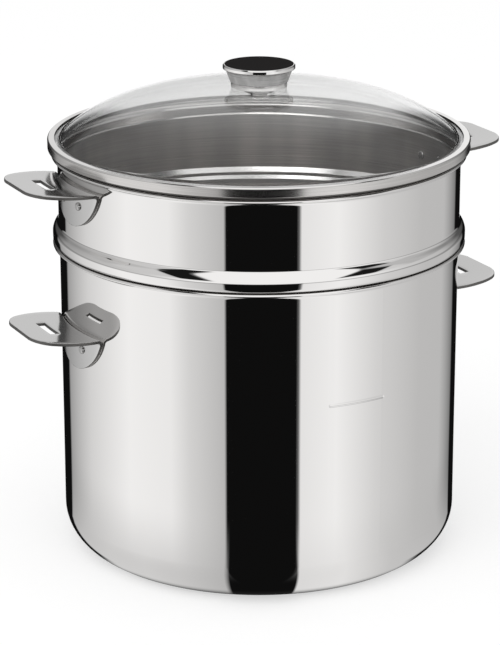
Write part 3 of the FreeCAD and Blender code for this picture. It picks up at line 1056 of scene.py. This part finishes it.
def handle_rows(wall, top):
    """(radius, height, half width, straightness) of each row of the blank, from tongue to tip."""
    face = wall + handle_skin
    tip = wall + handle_reach
    drop = tongue_depth - handle_fold
    tongue = (handle_root ** 2 + drop ** 2) / (2 * drop)
    opening = math.asin(handle_root / tongue)
    belly, bend = circle_through(
        (wall, handle_root), (wall + handle_widest, handle_belly), (tip, handle_end),
    )
    rows = []
    for angle in evenly(0, opening, tongue_rows):
        lift = tongue * (1 - math.cos(angle))
        rows.append((face, top - tongue_depth + lift, tongue * math.sin(angle), 0))
    fold_turn = math.pi / 2 - handle_tilt
    trim = handle_fold / math.tan((math.pi - fold_turn) / 2)
    middle = Vector((face + handle_fold, top - trim))
    for step in range(fold_rows + 1):
        angle = math.pi - fold_turn * step / fold_rows
        radius = middle.x + handle_fold * math.cos(angle)
        rows.append((radius, middle.y + handle_fold * math.sin(angle), None, 0))
    start = rows[-1][0]
    slot = wall + slot_distance
    corner = tip - handle_corner
    stations = evenly(start, slot - slot_half_width, root_rows)
    stations += [slot, slot + slot_half_width]
    stations += evenly(slot + slot_half_width, corner, end_rows)
    quarter = evenly(0, math.pi / 2, corner_rows)
    stations += [corner + handle_corner * math.sin(angle) for angle in quarter]
    for radius in stations:
        rise = (radius - face) * math.tan(handle_tilt)
        rows.append((radius, top + rise, None, (radius - start) / (tip - start)))
    finished = []
    for radius, height, half, straight in rows:
        if half is None:
            half = belly.y + math.sqrt(bend ** 2 - (radius - belly.x) ** 2)
            past = max(radius - corner, 0)
            half -= handle_corner - math.sqrt(max(handle_corner ** 2 - past ** 2, 0))
        finished.append((radius, height, half, straight))
    return finished


print("handle reaches", round(handle_reach / mm, 1), "mm")

# %% [markdown]
# The blank starts as a flat square grid. Its points move to their rows, the faces inside the slot are
# deleted, and solidify gives the sheet its thickness. A Solidify and a Bevel modifier could do the
# same, but with the operators the cut sides can be found between the two steps: they stay dull, their
# dark colour is painted shade along the edges, and the bevel makes their edges soft to the hand.

# %% Folding a handle
rim_angle = math.radians(60)
edge_segments = 3
cut_and_shaded_finish = 1
blank_half = 0.5


def handle_shape(wall, top):
    """Bent plate on the +X side of a wall, as a bmesh."""
    rows = handle_rows(wall, top)
    columns = slot_columns + 2 * side_columns
    bm = bmesh.new()
    bmesh.ops.create_grid(bm, x_segments=columns, y_segments=len(rows) - 1, size=blank_half)
    slot = wall + slot_distance
    for point in bm.verts:
        column = (point.co.x + blank_half) * columns - columns / 2
        radius, height, half, straight = rows[round((point.co.y + blank_half) * (len(rows) - 1))]
        inner = slot_half_length * min(half / handle_root, 1)
        if abs(column) <= slot_columns / 2:
            across = inner * column / (slot_columns / 2)
        else:
            share = (abs(column) - slot_columns / 2) / side_columns
            across = math.copysign(inner + (half - inner) * share, column)
        curved = math.sqrt(radius ** 2 - across ** 2)
        point.co = (curved + (radius - curved) * straight, across, height)
    punched = [
        face for face in bm.faces
        if abs(face.calc_center_median().x - slot) < slot_half_width
        and abs(face.calc_center_median().y) < slot_half_length
        and face.calc_center_median().z > top - handle_sheet
    ]
    bmesh.ops.delete(bm, geom=punched, context="FACES")
    bmesh.ops.recalc_face_normals(bm, faces=bm.faces)
    plate = [face for face in bm.faces if face.calc_center_median().x > slot]
    if plate[0].normal.z < 0:
        bmesh.ops.reverse_faces(bm, faces=bm.faces)
    bmesh.ops.solidify(bm, geom=bm.faces, thickness=handle_sheet)
    rim = [edge for edge in bm.edges if edge.calc_face_angle(0) > rim_angle]
    # Cut sides get the dull steel: unpolished, and dark as painted shade along the edges.
    for face in bm.faces:
        sharp = [edge in rim for edge in face.edges]
        if len(sharp) == 4 and (sharp[0] and sharp[2] or sharp[1] and sharp[3]):
            face.material_index = cut_and_shaded_finish
    bmesh.ops.bevel(
        bm, geom=rim, offset=edge_round, segments=edge_segments, profile=0.5, affect="EDGES",
        material=-1,
    )
    return bm


pot_grip_top = top_of("pot_handle_right") - handle_reach * math.tan(handle_tilt)
insert_grip_top = top_of("insert_handle_right") - handle_reach * math.tan(handle_tilt)
for name, body, wall, top, node in (
    ("pot_grip", "pot", pot_wall, pot_grip_top, "pot_handle"),
    ("insert_grip", "insert", collar_wall, insert_grip_top, "insert_handle"),
):
    for side, turned in (("right", 0), ("left", math.pi)):
        bm = handle_shape(wall, top)
        bmesh.ops.rotate(bm, verts=bm.verts, matrix=Matrix.Rotation(turned, 3, "Z"))
        make_piece(bm, f"{name}_{side}", body, [satin, dull_painted_shade], f"{node}_{side}")

# %% [markdown]
# Two rivets hold each handle. Each has a low domed head on the tongue and a flat one inside the wall.
# A sphere cut in half could be the head, but a turned rivet has both heads and the shank in one. It is
# turned about the pot's axis like the other round pieces, laid along X and moved out to its place.

# %% Rivets
rivet_spacing = 20 * mm
rivet_drop = 10 * mm
rivet_head = 4.5 * mm / 2
rivet_head_height = 1.2 * mm
rivet_head_round = 0.9 * rivet_head_height
rivet_shank = 3.2 * mm / 2
rivet_inner = 5.2 * mm / 2
rivet_inner_height = 0.9 * mm
rivet_skin = 0.05 * mm
rivet_steps = 32


def add_rivet(bm, wall, height, turned):
    """Add one rivet through a wall and its tongue, at a turn about the axis."""
    inside = wall - sheet - rivet_skin
    outside = wall + handle_skin + handle_sheet + rivet_skin
    old = set(bm.verts)
    turn(bm, [
        (0, inside - rivet_inner_height),
        (rivet_inner, inside - rivet_inner_height, rivet_inner_height / 2),
        (rivet_inner, inside),
        (rivet_shank, inside),
        (rivet_shank, outside),
        (rivet_head, outside),
        (rivet_head, outside + rivet_head_height, rivet_head_round),
        (0, outside + rivet_head_height),
    ], steps=rivet_steps)
    place = (
        Matrix.Rotation(turned, 4, "Z") @ Matrix.Translation((0, 0, height))
        @ Matrix.Rotation(math.pi / 2, 4, "Y")
    )
    bmesh.ops.transform(bm, matrix=place, verts=[v for v in bm.verts if v not in old])


for name, body, wall, top, node in (
    ("pot_rivet_pair", "pot", pot_wall, pot_grip_top, "pot_rivets"),
    ("insert_rivet_pair", "insert", collar_wall, insert_grip_top, "insert_rivets"),
):
    half = math.asin(rivet_spacing / 2 / wall)
    for side, turned in (("right", 0), ("left", math.pi)):
        bm = bmesh.new()
        for offset in (-half, half):
            add_rivet(bm, wall, top - rivet_drop, turned + offset)
        make_piece(bm, f"{name}_{side}", body, [bright], f"{node}_{side}")

# %% [markdown]
# The lid's edge is a steel channel, rolled round the glass. Below it steps down to rest on the insert's
# rim and ends in a short skirt that keeps the lid central. The path follows the outer face, and the
# inner face runs one thin sheet beside it. Its upright face keeps the fine lines of the rolling, its
# upper edge is polished, and the step below and the cut edge above get the dark dull steel: painted
# shade in the gap under the band and along the glass.

# %% Lid band
band_sheet = 0.5 * mm
band_step = 1.8 * mm
band_lap = 3.8 * mm
band_round = 1.0 * mm
band_foot_round = 0.5 * mm
band_fold = 0.7 * mm
hem_width = 0.5 * mm
hem_height = 0.9 * mm
seat_inset = 1.0 * mm
skirt_gap = 1.45 * mm
lid_steps = 224
rolled_finish = 1
shaded_edge_finish = 2
band = radius_of("lid_band")
band_top = top_of("lid_band")
skirt_foot = foot_of("lid_band")
lid_seat = collar_top + seat_gap
step_radius = collar_rim - seat_inset
step_top = lid_seat + band_step
skirt = collar_wall - sheet - skirt_gap
band_path = [
    (skirt - hem_width, skirt_foot),
    (skirt, skirt_foot + hem_height, hem_width),
    (skirt, lid_seat, band_fold),
    (step_radius, lid_seat, band_fold),
    (step_radius, step_top, band_fold),
    (band, step_top, band_foot_round),
    (band, band_top, band_round),
    (band - band_lap, band_top),
]
bm = bmesh.new()
turn(bm, band_path + beside(band_path, band_sheet)[::-1], steps=lid_steps, closed=True)
# Painted shade: the step under the band and the cut edge at the lap get the dark dull steel.
for face in bm.faces:
    middle = face.calc_center_median()
    radius = middle.to_2d().length
    on_step = lid_seat < middle.z < step_top + band_sheet / 2
    if radius > band - band_sheet / 2 and middle.z < band_top - band_round / 2:
        face.material_index = rolled_finish
    elif radius < skirt + weld_distance and middle.z < lid_seat:
        face.material_index = rolled_finish
    elif radius < band - band_lap + weld_distance and middle.z > band_top - 2 * band_sheet:
        face.material_index = shaded_edge_finish
    elif radius > step_radius - band_sheet / 2 and on_step:
        face.material_index = shaded_edge_finish
make_piece(bm, "rolled_band", "lid", [polished, rolled, dull_painted_shade], "lid_band")

# %% [markdown]
# The glass is a shallow dome with round shoulders and a flat flange. Its slope grows steadily with the
# distance from the middle and faster near the edge. Two arcs would be simpler, but their curves would
# change at a line, and glass that is looked at so flatly would show that line as a jog in all that lies
# behind it. The lines of both faces, the flange and the ground edge join into one closed wire, and the
# bend between dome and flange is rounded as hot glass is.

# %% Lid glass
glass_thickness = 4.0 * mm
glass_flange = 5.5 * mm
glass_bend = 3 * mm
glass_edge_round = 1.4 * mm
glass_hole = 3.5 * mm
edge_tilt = math.radians(42)
dome_power = 5
dome_steps = 72
glass_edge = radius_of("lid_glass")
flange_foot = foot_of("lid_glass")
flange_top = flange_foot + glass_thickness
dome_edge = glass_edge - glass_flange
dome_top = top_of("lid_glass")
shared_slope = math.tan(edge_tilt) / (dome_power + 1)
crown_slope = ((dome_top - flange_top) / dome_edge - shared_slope) / (1 / 2 - 1 / (dome_power + 1))
shoulder_slope = math.tan(edge_tilt) - crown_slope


def dome_point(share, depth):
    """Point of the dome's section at a share of its radius, a depth below its upper face."""
    tilt = math.atan(crown_slope * share + shoulder_slope * share ** dome_power)
    drop = crown_slope * share ** 2 / 2 + shoulder_slope * share ** (dome_power + 1) / (dome_power + 1)
    upper = Vector((dome_edge * share, 0, dome_top - dome_edge * drop))
    return upper - depth * Vector((math.sin(tilt), 0, math.cos(tilt)))


def dome_line(bm, depth):
    """Wire from the screw hole to the flange, a depth below the dome's upper face: its ends."""
    first = glass_hole / dome_edge
    shares = [first + (1 - first) * step / dome_steps for step in range(dome_steps + 1)]
    points = [bm.verts.new(dome_point(share, depth)) for share in shares]
    down_to_flange = depth * math.tan(edge_tilt / 2)
    points[-1].co += down_to_flange * Vector((math.cos(edge_tilt), 0, -math.sin(edge_tilt)))
    for start, end in zip(points, points[1:]):
        bm.edges.new((start, end))
    return points[0], points[-1]


bm = bmesh.new()
top_first, top_last = dome_line(bm, 0)
under_first, under_last = dome_line(bm, glass_thickness)
edge_top = bm.verts.new((glass_edge, 0, flange_top))
edge_foot = bm.verts.new((glass_edge, 0, flange_foot))
for pair in (
    (top_last, edge_top), (edge_top, edge_foot), (edge_foot, under_last), (under_first, top_first),
):
    bm.edges.new(pair)
for corner, rounding in (
    (edge_top, glass_edge_round), (edge_foot, glass_edge_round),
    (top_last, glass_bend), (under_last, glass_bend),
):
    round_corner(bm, corner, rounding)
spin_once(bm, list(bm.verts) + list(bm.edges), lid_steps)
make_piece(bm, "glass_dome", "lid", [glass], "lid_glass")

# %% [markdown]
# The knob is a low steel cone that widens upwards to a bright chamfered rim. It is hollow for the screw
# below and for the dark disc above. A cylinder could be scaled at its ends, but a turned path also
# holds the chamfers and the hollows. The cone keeps the marks of the lathe and upright bands of
# painted sheen in its colour, and the rim is polished.

# %% Knob
foot_round = 0.35 * mm
rim_height = 2.3 * mm
rim_chamfer = 0.6 * mm
shoulder = 36.8 * mm / 2
knob_foot_radius = 32 * mm / 2
inlay_seat_gap = 0.05 * mm
bore = 2.55 * mm
knob_steps = 96
turned_finish = 1
knob_foot = foot_of("knob_body")
knob_top = top_of("knob_body")
knob_edge = radius_of("knob_body")
inlay_radius = radius_of("knob_inlay")
inlay_foot = foot_of("knob_inlay")
screw_top = top_of("knob_screw")
seat_radius = inlay_radius + inlay_seat_gap
rim_foot = knob_top - rim_height

bm = bmesh.new()
turn(bm, [
    (0, screw_top + inlay_seat_gap),
    (bore, screw_top + inlay_seat_gap),
    (bore, knob_foot),
    (knob_foot_radius, knob_foot, foot_round),
    (shoulder, rim_foot - rim_chamfer, rim_chamfer),
    (knob_edge, rim_foot, foot_round),
    (knob_edge, knob_top - rim_chamfer, foot_round),
    (knob_edge - rim_chamfer, knob_top, foot_round / 2),
    (seat_radius, knob_top),
    (seat_radius, inlay_foot - inlay_seat_gap),
    (0, inlay_foot - inlay_seat_gap),
], steps=knob_steps)
for face in bm.faces:
    if knob_foot < face.calc_center_median().z < rim_foot - rim_chamfer:
        face.material_index = turned_finish
make_piece(bm, "knob_cone", "lid", [polished, turned_steel], "knob_body")

# %% [markdown]
# The dark disc lies in the knob's top, and a ring lies under its foot. A gasket on each side of the
# glass, a washer and a screw from below hold the knob. They differ only in their corners, so one helper
# turns them all: rings from a closed wire, and solid pieces from a wire that starts and ends on the
# axis.

# %% Small pieces of the lid
ring_steps = 64
screw_steps = 48
edge_gap = 4 * inlay_seat_gap
head_height = 2.6 * mm
head_round = 0.6 * head_height
shank = 2.5 * mm


def turned_piece(name, finish, node, corners, steps=ring_steps, closed=True):
    """A small round piece of the lid, with one finish."""
    bm = bmesh.new()
    turn(bm, corners, steps=steps, closed=closed)
    make_piece(bm, name, "lid", [finish], node)


turned_piece("knob_disc", inlay_black, "knob_inlay", [
    (0, inlay_foot), (inlay_radius, inlay_foot),
    (inlay_radius, knob_top, foot_round / 2), (0, knob_top),
], knob_steps, False)

ring_foot, ring_top = foot_of("knob_ring"), top_of("knob_ring")
ring_radius = radius_of("knob_ring")
gasket_foot, gasket_top = foot_of("knob_gasket"), top_of("knob_gasket")
gasket_radius = radius_of("knob_gasket")
pocket = gasket_radius + inlay_seat_gap
turned_piece("knob_foot_ring", polished, "knob_ring", [
    (bore, gasket_top + inlay_seat_gap), (pocket, gasket_top + inlay_seat_gap),
    (pocket, ring_foot + edge_gap), (ring_radius, ring_foot),
    (ring_radius, ring_top, foot_round), (bore, ring_top),
])
turned_piece("upper_gasket", silicone, "knob_gasket", [
    (glass_hole, dome_top + inlay_seat_gap), (gasket_radius, gasket_foot),
    (gasket_radius, gasket_top), (glass_hole, gasket_top),
])

lower_foot, lower_top = foot_of("screw_gasket"), top_of("screw_gasket")
lower_radius = radius_of("screw_gasket")
turned_piece("lower_gasket", silicone, "screw_gasket", [
    (glass_hole, lower_foot), (lower_radius, lower_foot, foot_round),
    (lower_radius, lower_top - edge_gap), (glass_hole, lower_top),
])
washer_foot, washer_top = foot_of("screw_washer"), top_of("screw_washer")
washer_radius = radius_of("screw_washer")
turned_piece("steel_washer", bright, "screw_washer", [
    (bore, washer_foot), (washer_radius, washer_foot, foot_round),
    (washer_radius, washer_top), (bore, washer_top),
])
head_foot, head_radius = foot_of("knob_screw"), radius_of("knob_screw")
head_top = head_foot + head_height
turned_piece("lid_screw", bright, "knob_screw", [
    (0, head_foot), (head_radius, head_foot, head_round), (head_radius, head_top),
    (shank, head_top), (shank, screw_top), (0, screw_top),
], screw_steps, False)
